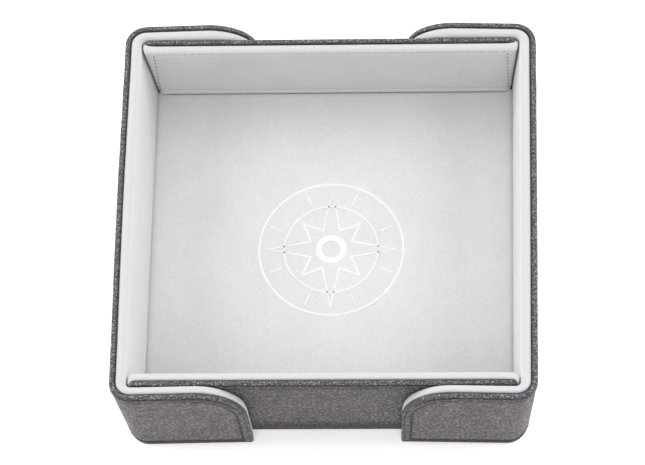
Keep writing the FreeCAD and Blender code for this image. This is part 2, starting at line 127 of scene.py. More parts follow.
HEEL_TURN = math.pi / 2 + SLOPE
FOOT_FLAP = HEEL * (1 + math.sin(SLOPE)) / math.cos(SLOPE)


# ---------------------------------------------------------------- where a spot of each panel lies
def smooth(low, high, x):
    t = np.clip((np.asarray(x, float) - low) / (high - low), 0, 1)
    return t * t * (3 - 2 * t)


LINE = np.linspace(-110, 175, 2851)
BEND = DROOP * smooth(SEAM, ROUND_END + 3, LINE)
STEP = LINE[1] - LINE[0]
RUN = LINE[0] + np.concatenate([[0], np.cumsum(np.cos(BEND[1:]) * STEP)])
DROP = np.concatenate([[0], -np.cumsum(np.sin(BEND[1:]) * STEP)])


def strip(side, end, u, v, w):
    """A spot on a side wall and, past its end, round the corner and along the wing.

    u runs along the wall from its middle, v up it, and w inward from the leather."""
    bend = np.interp(u, LINE, BEND)
    along = np.interp(u, LINE, RUN) + v * np.sin(bend)
    up = np.interp(u, LINE, DROP) + v * np.cos(bend)
    turn = np.clip((along - WALL_END) / CORNER, 0, math.pi / 2)
    past = np.maximum(along - ROUND_END, 0)
    inward = np.where(along < WALL_END, w, CORNER - (CORNER - w) * np.cos(turn)) + past
    y = np.where(along < WALL_END, along, WALL_END + (CORNER - w) * np.sin(turn))
    y = y + smooth(WALL_END, ROUND_END, along) * (WING_SET - up * math.tan(SLOPE))
    bow = BOW[side] * np.cos(math.pi / 2 * np.clip(y / WALL_END, -1, 1)) ** 2 * np.clip(up / WALL_TOP, 0, 1)
    x = TOE + up * SIN - inward * COS + bow
    z = up * COS + inward * SIN
    return np.stack([side * x, end * y, z], axis=-1)


def flap(end, u, v, w):
    """A spot on a flap; below its foot v runs on round the heel and under the base."""
    w = np.where(v < FOOT_FLAP + 1.5, np.maximum(w, 0), w)
    turn = np.clip((FOOT_FLAP - v) / HEEL, 0, HEEL_TURN)
    under = np.maximum(FOOT_FLAP - v - HEEL * HEEL_TURN, 0)
    up = np.where(v < FOOT_FLAP, FOOT_FLAP - (HEEL - w) * np.sin(turn) + under * math.sin(SLOPE), v)
    depth = np.where(v < FOOT_FLAP, HEEL - (HEEL - w) * np.cos(turn) + under * math.cos(SLOPE), w)
    return flap_flat(end, u, up, depth)


def flap_flat(end, u, v, w):
    y = FLAP_TOE - (w * math.cos(SLOPE) + v * math.sin(SLOPE))
    z = v * math.cos(SLOPE) - w * math.sin(SLOPE)
    return np.stack([u, end * y, z], axis=-1)


def wall_spot(x, z):
    """(v, w) on a side wall of a spot given by its distance from the middle and its height."""
    return (x - TOE) * SIN + z * COS, z * SIN - (x - TOE) * COS


WAVE_COUNT = 12


def waves(seed, length, x, y):
    """Smooth unevenness about 0, about 1 high, whose hills are about length wide."""
    rng = np.random.default_rng(seed)
    total = np.zeros(np.broadcast(x, y).shape)
    for _ in range(WAVE_COUNT):
        angle = rng.uniform(0, math.pi)
        pitch = 2 * math.pi / (length * rng.uniform(0.7, 1.6))
        total += np.sin(pitch * (x * math.cos(angle) + y * math.sin(angle)) + rng.uniform(0, 6.3))
    return total / math.sqrt(WAVE_COUNT)


# ---------------------------------------------------------------- meshes
MARKS = ("painted_shade", "painted_glint")      # painted shade in the leather's grooves, creases and turned-under bands, and painted glints on its rim bead


SHARP = math.radians(40)      # edges steeper than this are drawn sharp


def make_object(name, vertices, faces, marks, weld=True):
    """An object from vertices in millimetres: welded, closed over its cuts, smooth but for sharp edges."""
    mesh = bpy.data.meshes.new(name)
    mesh.from_pydata((np.asarray(vertices) * MM).tolist(), [], faces)
    for column, mark in enumerate(MARKS):
        layer = mesh.attributes.new(mark, "FLOAT", "POINT")
        layer.data.foreach_set("value", marks[:, column].astype(np.float32))
    bm = bmesh.new()
    bm.from_mesh(mesh)
    if weld:
        bmesh.ops.remove_doubles(bm, verts=bm.verts, dist=0.004 * MM)
        bmesh.ops.dissolve_degenerate(bm, dist=0.002 * MM, edges=bm.edges)
        close(bm)
    bmesh.ops.recalc_face_normals(bm, faces=bm.faces)
    return finish_object(name, mesh, bm)


def close(bm):
    rim = [edge for edge in bm.edges if edge.is_boundary]
    if rim:
        bmesh.ops.holes_fill(bm, edges=rim, sides=0)


def finish_object(name, mesh, bm):
    for face in bm.faces:
        face.smooth = True
    bm.to_mesh(mesh)
    bm.free()
    mesh.set_sharp_from_angle(angle=SHARP)
    piece = bpy.data.objects.new(name, mesh)
    bpy.context.scene.collection.objects.link(piece)
    return piece


class Grids:
    """Collects rectangular nets of spots, each an array of rows of (u, v, w)."""

    def __init__(self):
        self.spots = []
        self.marks = []
        self.faces = []
        self.count = 0

    def add(self, net, closed=False, marks=None):
        rows, columns = net.shape[:2]
        index = self.count + np.arange(rows * columns).reshape(rows, columns)
        if closed:
            index = np.concatenate([index, index[:, :1]], axis=1)
        quads = np.stack([index[:-1, :-1], index[:-1, 1:], index[1:, 1:], index[1:, :-1]], axis=-1)
        self.faces += quads.reshape(-1, 4).tolist()
        self.spots.append(net.reshape(-1, 3))
        self.marks.append(np.zeros((rows * columns, 2)) if marks is None else marks.reshape(-1, 2))
        self.count += rows * columns
        return index

    def make(self, name, place, **options):
        spots = np.concatenate(self.spots)
        placed = place(spots[:, 0], spots[:, 1], spots[:, 2])
        return make_object(name, placed, self.faces, np.concatenate(self.marks), **options)


def sweep(name, section, stations, place, relief, marks=None):
    """A closed section of (v, w) spots carried along u, capped at both ends.

    marks has a row for each spot."""
    section = np.array(section, float)
    net = np.empty((len(stations), len(section), 3))
    net[:, :, 0] = np.asarray(stations)[:, None]
    net[:, :, 1:] = section[None]
    net[:, :, 2] += relief(net[:, :, 0], net[:, :, 1], net[:, :, 2])
    if marks is not None:
        marks = np.broadcast_to(np.array(marks, float)[None], net.shape[:2] + (2,))
    grids = Grids()
    grids.add(net, closed=True, marks=marks)
    return grids.make(name, place)


SMALL_ROUND = 0.35     # a rounded corner never gets sharper than this when it is drawn in


class Panel:
    """A four-sided panel in its own plane: side 0 is the bottom, then right, top and left.

    A free side is drawn in by an offset. A side that isn't free is a cut and stays where it is."""

    def __init__(self, corners, rounds, free, counts, arcs):
        self.corners = [np.array(corner, float) for corner in corners]
        self.rounds = rounds
        self.free = free
        self.counts = counts      # steps along sides 0 and 2, and along sides 1 and 3
        self.arcs = arcs          # steps in half of each corner's rounding

    def line(self, i, offset):
        start = self.corners[i % 4]
        along = self.corners[(i + 1) % 4] - start
        along = along / np.linalg.norm(along)
        inward = np.array([-along[1], along[0]])
        return start + inward * (offset if self.free[i % 4] else 0), along, inward

    def rounding(self, i, offset):
        """The rounded corner i as a list of spots: one spot where it is sharp."""
        p, d, inward = self.line(i - 1, offset)
        q, f, _ = self.line(i, offset)
        cross = d[0] * f[1] - d[1] * f[0]
        gap = q - p
        sharp = p + d * (gap[0] * f[1] - gap[1] * f[0]) / cross
        if not self.rounds[i]:
            return [sharp]
        turn = math.atan2(cross, float(d @ f))
        radius = max(self.rounds[i] - offset, SMALL_ROUND)
        middle = sharp - d * radius * math.tan(turn / 2) + inward * radius
        angles = np.linspace(0, turn, 2 * self.arcs[i] + 1)
        return [middle + radius * (d * math.sin(a) - inward * math.cos(a)) for a in angles]

    def side(self, i, offset):
        """Spots along side i, from the middle of one corner to the middle of the next."""
        first = self.rounding(i % 4, offset)
        second = self.rounding((i + 1) % 4, offset)
        first = first[len(first) // 2:]
        second = second[:len(second) // 2 + 1]
        steps = self.counts[i % 2] - len(first) - len(second) + 2
        straight = np.linspace(first[-1], second[0], steps + 1)
        return np.concatenate([np.array(first[:-1]).reshape(-1, 2), straight,
                               np.array(second[1:]).reshape(-1, 2)])

    def chain(self, offset):
        """The free sides in one line of spots."""
        cut = self.free.index(False)
        sides = [self.side(cut + k, offset) for k in (1, 2, 3)]
        return np.concatenate([sides[0]] + [side[1:] for side in sides[1:]])

    def middle(self, offset):
        """A net over the inside of the panel, drawn in by the offset."""
        bottom, right, top, left = [self.side(i, offset) for i in range(4)]
        top, left = top[::-1], left[::-1]
        s = np.linspace(0, 1, len(bottom))[None, :, None]
        t = np.linspace(0, 1, len(left))[:, None, None]
        rows = (1 - t) * bottom[None] + t * top[None]
        columns = (1 - s) * left[:, None] + s * right[:, None]
        corners = ((1 - s) * (1 - t) * bottom[0] + s * (1 - t) * bottom[-1]
                   + (1 - s) * t * top[0] + s * t * top[-1])
        return rows + columns - corners

    def shell(self, name, profile, place, relief, other=None, share=None, marks=None, shade=None):
        """A closed panel. The profile runs over its edge as (offset, w), from the front to the back.

        Where share is 1 along the chain, the other profile's w takes over. marks gives the painted shade and
        painted glints for a row of the profile and the count of spots along the chain, and shade gives
        painted shade by the spot."""
        grids = Grids()
        for e, w in (profile[0], profile[-1]):
            flat = self.middle(e)
            net = np.concatenate([flat, np.full(flat.shape[:2] + (1,), w)], axis=2)
            if w == profile[0][1]:
                net[:, :, 2] += relief(net[:, :, 0], net[:, :, 1])
            # painted shade over the panel's face, where shade is given
            tint = np.zeros(flat.shape)
            if shade is not None and w == profile[0][1]:
                tint[:, :, 0] = shade(net[:, :, 0], net[:, :, 1])
            grids.add(net, marks=tint)
        rings = []
        marked = []
        for row, (e, w) in enumerate(profile):
            spots = self.chain(e)
            depth = np.full(len(spots), w)
            if other is not None:
                depth = depth + share(len(spots)) * (other[row] - w)
            if row < len(profile) // 2:
                fade = float(smooth(0.3, profile[0][0], e))
                depth = depth + fade * relief(spots[:, 0], spots[:, 1])
            rings.append(np.column_stack([spots, depth]))
            mark = np.zeros((len(spots), 2)) if marks is None else marks(row, len(spots))
            if shade is not None:
                mark[:, 0] = np.maximum(mark[:, 0], shade(spots[:, 0], spots[:, 1]))
            marked.append(mark)
        grids.add(np.stack(rings), marks=np.stack(marked))
        return grids.make(name, place)


def parted(piece, name, planes):
    """A copy of a closed piece, kept only inside the planes: (spot, outward normal) in millimetres."""
    mesh = piece.data.copy()
    mesh.name = name
    bm = bmesh.new()
    bm.from_mesh(mesh)
    for spot, normal in planes:
        geometry = bm.verts[:] + bm.edges[:] + bm.faces[:]
        found = bmesh.ops.bisect_plane(bm, geom=geometry, dist=1e-7, plane_co=Vector(spot) * MM,
                                       plane_no=Vector(normal), clear_outer=True)
        edges = [item for item in found["geom_cut"] if isinstance(item, bmesh.types.BMEdge)]
        bmesh.ops.triangle_fill(bm, use_beauty=True, edges=edges)
        close(bm)
    bmesh.ops.recalc_face_normals(bm, faces=bm.faces)
    return finish_object(name, mesh, bm)


# ---------------------------------------------------------------- profiles: offset from the edge, depth w
LEATHER_EDGE = [(9, 0), (7, 0), (5.7, .04), (5.1, .20), (4.7, .48), (4.3, .40), (3.9, .0), (3.3, -.30),
                (2.5, -.36), (2.05, -.10), (1.65, .26), (1.4, .40), (1.1, .16), (.75, 0),
                (.4, .10), (.15, .42), (0, .95), (-.03, 1.5), (.02, 2.05), (.2, 2.5), (.5, 2.8),
                (.95, 2.98), (SKIN, SKIN)]
# painted shade for each row of LEATHER_EDGE: darker in the stitch groove and in the creases either side of
# the rim bead
LEATHER_PAINTED_SHADE = [0, 0, 0, .25, .8, .5, 0, 0, 0, .3, .95, 1, 1, .5, 0, 0, 0, 0, .25, .95, 1, 1, 1]
# painted glints for each row of LEATHER_EDGE: on the rim bead, and faintly on the band below it
LEATHER_PAINTED_GLINT = [0, 0, 0, 0, 0, 0, 0, .1, .2, .1, 0, 0, 0, .4, 1, 1, 1, 1, .7, 0, 0, 0, 0]
# painted shade along a wing's turned-under lower band
LOWER_PAINTED_SHADE = [0, 0, 0, .2, .6, .8, .95, 1, .95, .9, .9, .9, .9, .9, .9, .9, .9, .9, .9, 1, 1, 1, 1]
LOWER_EDGE = [0, 0, 0, .02, .08, .14, .24, .36, .22, .12, .12, .14, .18, .24, .34, .50,
              .80, 1.3, 1.9, 2.4, 2.8, 2.95, SKIN]
VELVET_EDGE = [(8, 7.8), (6.6, 7.82), (5.4, 7.86), (4.4, 7.9), (3.4, 7.92), (2.5, 7.86), (1.75, 7.66),
               (1.15, 7.28), (.72, 6.75), (.45, 6.1), (.3, 5.4), (.22, 4.7), (.25, 4.1), (.4, 3.6),
               (.75, 3.25), (1.3, 3.05), (2.2, 3.02)]


def thinner(profile, depth):
    """The velvet's profile for a panel of another depth."""
    share = (depth - RIM) / (WALL_DEPTH - RIM)
    return [(e, RIM + (w - RIM) * share) for e, w in profile]


HEM_WRAP = 1.0     # the velvet turns round a flap's ends and covers this much more than the leather
FLAP_EDGE = [(8, 7.8), (6.6, 7.8), (5.2, 7.8), (4.1, 7.76), (3.3, 7.56), (2.9, 7.30), (2.5, 7.40),
             (1.9, 7.62), (1.4, 7.46), (.95, 7.1), (.62, 6.6), (.42, 6.0), (.3, 5.3), (.22, 4.6), (.27, 4.0),
             (.45, 3.5), (.8, 3.2), (1.3, 3.05), (2.2, 3.02), (2.42, 3.02)]
FLAP_VELVET = thinner(FLAP_EDGE, FLAP_DEPTH)
END_VELVET = [7.2, 7.2, 7.2, 7.2, 7.18, 7.14, 7.06, 6.86, 6.5, 5.9, 5.1, 4.3, 3.6, 2.9, 2.3, 1.7, 1.15, .8,
              .72, 3.02]


# ---------------------------------------------------------------- materials
def new_material(name, colour, roughness, specular=0.5):
    material = bpy.data.materials.new(name)
    material.use_nodes = True
    tree = material.node_tree
    shader = tree.nodes["Principled BSDF"]
    shader.inputs["Base Color"].default_value = (*colour, 1)
    shader.inputs["Roughness"].default_value = roughness
    shader.inputs["Specular IOR Level"].default_value = specular
    place = tree.nodes.new("ShaderNodeTexCoord").outputs["Object"]
    return material, tree, shader, place


def link(tree, source, target):
    tree.links.new(source, target)


def node(tree, kind, inputs=(), **settings):
    made = tree.nodes.new("ShaderNode" + kind)
    for key, value in settings.items():
        setattr(made, key, value)
    for key, value in dict(inputs).items():
        if isinstance(value, bpy.types.NodeSocket):
            tree.links.new(value, made.inputs[key])
        else:
            made.inputs[key].default_value = value
    return made


def ramp(tree, source, stops):
    made = tree.nodes.new("ShaderNodeValToRGB")
    bar = made.color_ramp.elements
    while len(bar) < len(stops):
        bar.new(0.5)
    for element, (spot, colour) in zip(bar, stops):
        element.position = spot
        element.color = (*colour, 1)
    tree.links.new(source, made.inputs["Fac"])
    return made.outputs["Color"]


def combine(tree, kind, a, b):
    made = tree.nodes.new("ShaderNodeMath")
    made.operation = kind
    for socket, value in zip(made.inputs, (a, b)):
        if isinstance(value, bpy.types.NodeSocket):
            tree.links.new(value, socket)
        else:
            socket.default_value = value
    return made.outputs[0]


def bump(tree, shader, height, distance):
    made = node(tree, "Bump", {"Height": height, "Distance": distance, "Strength": 1.0})
    link(tree, made.outputs["Normal"], shader.inputs["Normal"])


def mixed(tree, share, first, second):
    """Colours: first where share is 0, second where it is 1."""
    made = node(tree, "Mix", data_type="RGBA")
    link(tree, share, made.inputs["Factor"])
    for name, value in (("A", first), ("B", second)):
        socket = [item for item in made.inputs if item.name == name and item.type == "RGBA"][0]
        if isinstance(value, bpy.types.NodeSocket):
            link(tree, value, socket)
        else:
            socket.default_value = (*value, 1)
    return [item for item in made.outputs if item.type == "RGBA"][0]


def leather_material():
    """Pebbled satin leather: low grains between dark creases, with painted shade in its grooves and
    turned-under bands and painted glints on its rim bead.
    """
    material, tree, shader, place = new_material("leather", (0.12, 0.11, 0.11), 0.5)
    longer = node(tree, "Mapping", {"Vector": place, "Scale": (0.5, 0.5, 1.0)}).outputs["Vector"]
    warp = node(tree, "TexNoise", {"Vector": longer, "Scale": 380.0, "Detail": 2.0})
    shifted = node(tree, "VectorMath", {0: warp.outputs["Color"], 2: longer}, operation="MULTIPLY_ADD")
    shifted.inputs[1].default_value = (0.0012,) * 3
    cells = node(tree, "TexVoronoi", {"Vector": shifted.outputs[0], "Scale": 820.0, "Randomness": 0.95},
                 feature="DISTANCE_TO_EDGE")
    creases = ramp(tree, cells.outputs["Distance"], [(0.0, (0, 0, 0)), (0.22, (1, 1, 1))])
    wrinkles = node(tree, "TexNoise", {"Vector": longer, "Scale": 640.0, "Detail": 2.0, "Roughness": 0.55})
    blotches = node(tree, "TexNoise", {"Vector": place, "Scale": 60.0, "Detail": 3.0})
    # attributes marking where shade and glints are painted on the leather
    painted_shade = node(tree, "Attribute", attribute_name="painted_shade").outputs["Fac"]
    painted_glint = node(tree, "Attribute", attribute_name="painted_glint").outputs["Fac"]
    tone = combine(tree, "ADD", combine(tree, "MULTIPLY", creases, 0.4),
                   combine(tree, "MULTIPLY", wrinkles.outputs["Fac"], 0.7))
    tone = combine(tree, "ADD", tone, combine(tree, "MULTIPLY", blotches.outputs["Fac"], 0.2))
    grain = ramp(tree, tone, [(0.40, (0.068, 0.062, 0.062)), (0.70, (0.128, 0.118, 0.115)),
                              (0.94, (0.200, 0.186, 0.180))])
    # painted highlights: bright glint specks over a darker base
    pebble = node(tree, "TexVoronoi", {"Vector": place, "Scale": 1300.0, "Randomness": 1.0})
    glint = ramp(tree, pebble.outputs["Distance"], [(0.14, (0.50, 0.50, 0.52)), (0.27, (0.19, 0.185, 0.195)),
                                                    (0.48, (0.058, 0.053, 0.064))])
    colour = mixed(tree, painted_glint, grain, glint)
    # painted shade: near-black violet in grooves, creases and turned-under bands
    colour = mixed(tree, painted_shade, colour, (0.020, 0.013, 0.032))
    link(tree, colour, shader.inputs["Base Color"])
    shine = ramp(tree, tone, [(0.4, (0.60,) * 3), (1.0, (0.36,) * 3)])
    link(tree, shine, shader.inputs["Roughness"])
    height = combine(tree, "ADD", creases, combine(tree, "MULTIPLY", wrinkles.outputs["Fac"], 1.6))
    bump(tree, shader, height, 0.9 * MM)
    return material


def velvet_material():
    """Short-pile velvet: a soft sheen, cloudy brushed patches and a fine nap."""
    material, tree, shader, place = new_material("velvet", (0.55, 0.545, 0.55), 0.9, 0.2)
    shader.inputs["Sheen Weight"].default_value = 0.12
    shader.inputs["Sheen Roughness"].default_value = 0.5
    clouds = node(tree, "TexNoise", {"Vector": place, "Scale": 42.0, "Detail": 5.0, "Roughness": 0.62})
    fleck = node(tree, "TexNoise", {"Vector": place, "Scale": 1500.0, "Detail": 2.0})
    tone = combine(tree, "ADD", combine(tree, "MULTIPLY", clouds.outputs["Fac"], 0.3),
                   combine(tree, "MULTIPLY", fleck.outputs["Fac"], 0.7))
    colour = ramp(tree, tone, [(0.3, (0.510, 0.505, 0.508)), (0.7, (0.610, 0.606, 0.604))])
    # painted shade: greyer velvet along upward-facing edges above the floor
    painted_top_shade = node(tree, "Attribute", attribute_name="painted_top_shade").outputs["Fac"]
    colour = mixed(tree, painted_top_shade, colour, (0.475, 0.473, 0.478))
    link(tree, colour, shader.inputs["Base Color"])
    nap = node(tree, "TexNoise", {"Vector": place, "Scale": 2600.0, "Detail": 3.0, "Roughness": 0.7})
    height = combine(tree, "ADD", nap.outputs["Fac"], combine(tree, "MULTIPLY", clouds.outputs["Fac"], 1.5))
    bump(tree, shader, height, 0.26 * MM)
    return material


def thread_material(name, dark, light):
    """Twisted polyester thread."""
    material, tree, shader, place = new_material(name, dark, 0.55, 0.5)
    twist = node(tree, "TexWave", {"Vector": place, "Scale": 1400.0, "Distortion": 2.0, "Detail": 1.0},
                 bands_direction="DIAGONAL")
    link(tree, ramp(tree, twist.outputs["Fac"], [(0.1, dark), (0.9, light)]), shader.inputs["Base Color"])
    bump(tree, shader, twist.outputs["Fac"], 0.06 * MM)
    return material


def print_material():
    """A pale transfer print whose film follows the nap under it."""
    material, tree, shader, place = new_material("pale_print", (0.62, 0.625, 0.635), 0.6, 0.3)
    wear = node(tree, "TexNoise", {"Vector": place, "Scale": 900.0, "Detail": 4.0})
    colour = ramp(tree, wear.outputs["Fac"], [(0.3, (0.58, 0.584, 0.592)), (0.6, (0.64, 0.644, 0.652))])
    link(tree, colour, shader.inputs["Base Color"])
    bump(tree, shader, wear.outputs["Fac"], 0.06 * MM)
    return material


def board_material():
    """Greyboard: grey-brown pulp with fibres and flecks."""
    material, tree, shader, place = new_material("greyboard", (0.42, 0.40, 0.37), 0.92, 0.2)
    pulp = node(tree, "TexNoise", {"Vector": place, "Scale": 700.0, "Detail": 6.0, "Roughness": 0.7})
    colour = ramp(tree, pulp.outputs["Fac"], [(0.3, (0.33, 0.31, 0.285)), (0.7, (0.50, 0.475, 0.44))])
    link(tree, colour, shader.inputs["Base Color"])
    bump(tree, shader, pulp.outputs["Fac"], 0.05 * MM)
    return material


def magnet_material():
    """Nickel plate with fine handling scratches."""
    material, tree, shader, place = new_material("magnet", (0.72, 0.71, 0.69), 0.3)
    shader.inputs["Metallic"].default_value = 1.0
    haze = node(tree, "TexNoise", {"Vector": place, "Scale": 900.0, "Detail": 5.0})
    shine = ramp(tree, haze.outputs["Fac"], [(0.3, (0.22,) * 3), (0.7, (0.42,) * 3)])
    link(tree, shine, shader.inputs["Roughness"])
    colour = ramp(tree, haze.outputs["Fac"], [(0.3, (0.66, 0.65, 0.63)), (0.7, (0.78, 0.77, 0.75))])
    link(tree, colour, shader.inputs["Base Color"])
    return material


MATERIALS = {
    "leather": leather_material(),
    "velvet": velvet_material(),
    "thread": thread_material("thread", (0.030, 0.026, 0.032), (0.10, 0.09, 0.105)),
    "bobbin": thread_material("pale_thread", (0.40, 0.395, 0.40), (0.50, 0.495, 0.50)),
    "greyboard": board_material(),
    "magnet": magnet_material(),
    "print": print_material(),
}


def mark_painted_top_shade(mesh):
    """Painted shade: velvet is greyer along its upward-facing edges above the floor."""
    spots, normals = np.empty((2, len(mesh.vertices) * 3))
    mesh.vertices.foreach_get("co", spots)
    mesh.vertex_normals.foreach_get("vector", normals)
    upward = smooth(0.35, 0.9, normals[2::3]) * smooth(FLOOR_TOP + 2, FLOOR_TOP + 6, spots[2::3] / MM)
    mesh.attributes.new("painted_top_shade", "FLOAT", "POINT").data.foreach_set("value", upward)


def dress(piece, material):
    piece.data.materials.clear()
    piece.data.materials.append(MATERIALS[material])
    if material == "velvet":
        mark_painted_top_shade(piece.data)
    return piece


# ---------------------------------------------------------------- cloth
PUFF_FRAMES = 6
PUFF_CAP = 0.32      # the most that a lining swells off its board


def puff(piece, free):
    """Cloth simulation of a lining: it swells a little off its board where it isn't glued or stitched.

    free says how loose each spot is, from 0, held, to 1; the settled shape is kept in the mesh."""
    mesh = piece.data
    start = np.empty(len(mesh.vertices) * 3)
    mesh.vertices.foreach_get("co", start)
    start = start.reshape(-1, 3)
    loose = np.clip(free(start / MM), 0, 1)
    group = piece.vertex_groups.new(name="held")
    group.add(np.nonzero(loose < 0.02)[0].tolist(), 1.0, "REPLACE")
    cloth = piece.modifiers.new("cloth", "CLOTH")
    settings = cloth.settings
    settings.quality = 3
    settings.mass = 0.15
    settings.tension_stiffness = 12
    settings.compression_stiffness = 12
    settings.shear_stiffness = 4
    settings.bending_stiffness = 0.4
    settings.use_pressure = True
    settings.uniform_pressure_force = 4.0
    settings.vertex_group_mass = "held"
    settings.effector_weights.gravity = 0
    cloth.collision_settings.use_collision = False
    cloth.collision_settings.use_self_collision = False
    cloth.point_cache.frame_start = 1
    cloth.point_cache.frame_end = PUFF_FRAMES
    scene = bpy.context.scene
    for step in range(1, PUFF_FRAMES + 1):
        scene.frame_set(step)
    settled = piece.evaluated_get(bpy.context.evaluated_depsgraph_get()).data
    end = np.empty(len(mesh.vertices) * 3)
    settled.vertices.foreach_get("co", end)
    shift = end.reshape(-1, 3) - start
    size = np.linalg.norm(shift, axis=1)
    cap = PUFF_CAP * MM * loose
    shift *= (np.minimum(size, cap) / np.maximum(size, 1e-9))[:, None]
    piece.modifiers.remove(cloth)
    piece.vertex_groups.remove(group)
    scene.frame_set(1)
    mesh.vertices.foreach_set("co", (start + np.nan_to_num(shift)).ravel())
    mesh.update()


def inside(low, high, x, soft):
    """0 outside low to high, rising to 1 over a soft margin within."""
    return smooth(low, low + soft, x) * smooth(0, soft, high - x)


# ---------------------------------------------------------------- stitches
STITCH_LENGTH, STITCH_PITCH, STITCH_THICK = 2.6, 3.5, 0.55


def stitch_row(grids, line, depth, height=0.5, length=STITCH_LENGTH):
    """Rows of stitches along a line of (u, v) spots: each a short thread that dives in at both ends."""
    line = np.array(line, float)
    reach = np.concatenate([[0], np.cumsum(np.linalg.norm(np.diff(line, axis=0), axis=1))])
    count = max(int(reach[-1] / STITCH_PITCH), 1)
    pitch = reach[-1] / count
    along = np.linspace(-1, 1, 7)
    around = np.linspace(0, 2 * math.pi, 8, endpoint=False)
    thick = STITCH_THICK / 2 * np.sqrt(np.clip(1 - along ** 6, 0.02, 1))
    for k in range(count):
        travel = (k + 0.5) * pitch + along * length / 2
        u = np.interp(travel, reach, line[:, 0])
        v = np.interp(travel, reach, line[:, 1])
        du, dv = np.gradient(u), np.gradient(v)
        size = np.hypot(du, dv)
        arch = height * (1 - along ** 4) - height * 0.75
        net = np.empty((7, 8, 3))
        net[:, :, 0] = u[:, None] - (dv / size)[:, None] * thick[:, None] * np.cos(around)
        net[:, :, 1] = v[:, None] + (du / size)[:, None] * thick[:, None] * np.cos(around)
        rise = arch[:, None] + thick[:, None] * np.sin(around)
        net[:, :, 2] = depth(u, v)[:, None] + arch_sign(depth) * rise
        index = grids.add(net, closed=True)
        grids.faces.append(index[0, :-1][::-1].tolist())
        grids.faces.append(index[-1, :-1].tolist())


def arch_sign(depth):
    """Threads on a leather face stand out towards lower w, and on velvet towards higher w."""
    return 1.0 if getattr(depth, "velvet", False) else -1.0


def level(w, velvet=False):
    def depth(u, v):
        return np.full(np.shape(u), w)
    depth.velvet = velvet
    return depth


# ---------------------------------------------------------------- base
PRINT_RADIUS = 37.0     # the print and its margin
PRINT_LOW, PRINT_HEIGHT = FLOOR_TOP + 0.02, 0.13


def as_it_is(u, v, w):
    return np.stack([u, v, w], axis=-1)


def make_floor():
    """Velvet over the floor, dipping into the crease at the front and back."""
    lip = [(88.35, 4.2), (88.3, 4.7), (88.05, 5.05), (87.6, 5.3), (86.9, 5.44), (85.8, FLOOR_TOP)]
    top = lip + [(y, FLOOR_TOP) for y in np.linspace(84, -84, 113)] + [(-y, z) for y, z in lip[::-1]]
    section = top + [(-88.35, BOARD_TOP), (88.35, BOARD_TOP)]

    def relief(u, v, w):
        return 0.05 * waves(3, 26, u, v) * (w > FLOOR_TOP - 0.01)

    def free(spot):
        x, y, z = spot.T
        beside_print = smooth(PRINT_RADIUS, PRINT_RADIUS + 5, np.hypot(x, y))
        return inside(-84, 84, x, 8) * inside(-84, 84, y, 8) * beside_print * (z > FLOOR_TOP - 0.3) * 0.5

    piece = sweep("floor_velvet", section, np.linspace(-FLOOR_SEAM, FLOOR_SEAM, 118), as_it_is, relief)
    puff(piece, free)
    dress(piece, "velvet")
    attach(piece, "base")
    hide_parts("base_velvet")


def make_corner_shade_tabs():
    """Dark leather-finished pieces under the corners of the floor, where wall and flap part: painted shade
    where there is only shade.
    """
    grids = Grids()
    low = np.array([CORE + 0.15, FLOOR_Y - 1.2])
    high = np.array([FLOOR_X - 0.1, FLOOR_Y + 4.6])
    radius = 1.3
    for side in (-1, 1):
        for end in (-1, 1):
            rings = []
            for inset, z in ((0.3, 1.05), (0.1, 1.12), (0.1, 1.75), (0.3, 1.9), (1.2, 1.95)):
                middle, reach = (low + high) / 2, (high - low) / 2 - inset - radius
                angles = np.linspace(0, 2 * math.pi, 24, endpoint=False) + math.pi / 24
                turn = np.column_stack([np.cos(angles), np.sin(angles)])
                spots = (middle + reach * np.sign(turn) + radius * turn) * (side, end)
                rings.append(np.column_stack([spots, np.full(24, z)]))
            index = grids.add(np.stack(rings), closed=True)
            grids.faces += [index[0, :-1][::-1].tolist(), index[-1, :-1].tolist()]
    piece = grids.make("corner_shade_tabs", as_it_is)
    dress(piece, "leather")
    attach(piece, "base")


def ribbon(grids, points, width, closed=True):
    """A printed line of one width with mitred corners, and a slightly rounded top."""
    points = np.array(points, float)
    ahead = np.roll(points, -1, axis=0) - points
    ahead /= np.linalg.norm(ahead, axis=1)[:, None]
    behind = np.roll(ahead, 1, axis=0)
    if not closed:
        behind[0] = ahead[0]
        ahead[-1] = behind[-1]
    across = np.stack([-(ahead + behind)[:, 1], (ahead + behind)[:, 0]], axis=1)
    across /= np.linalg.norm(across, axis=1)[:, None]
    side = np.stack([-ahead[:, 1], ahead[:, 0]], axis=1)
    across /= np.maximum(np.sum(across * side, axis=1), 0.35)[:, None]
    shape = [(-.5, 0), (-.5, .5), (-.42, 1), (.42, 1), (.5, .5), (.5, 0)]
    net = np.empty((len(points), len(shape), 3))
    for column, (share, up) in enumerate(shape):
        net[:, column, :2] = points + across * width * share
        net[:, column, 2] = PRINT_LOW + PRINT_HEIGHT * up
    if closed:
        net = np.concatenate([net, net[:1]])
    grids.add(net, closed=True)


def ring_points(radius, count=96):
    angles = np.linspace(0, 2 * math.pi, count, endpoint=False)
    return np.column_stack([radius * np.cos(angles), radius * np.sin(angles)])


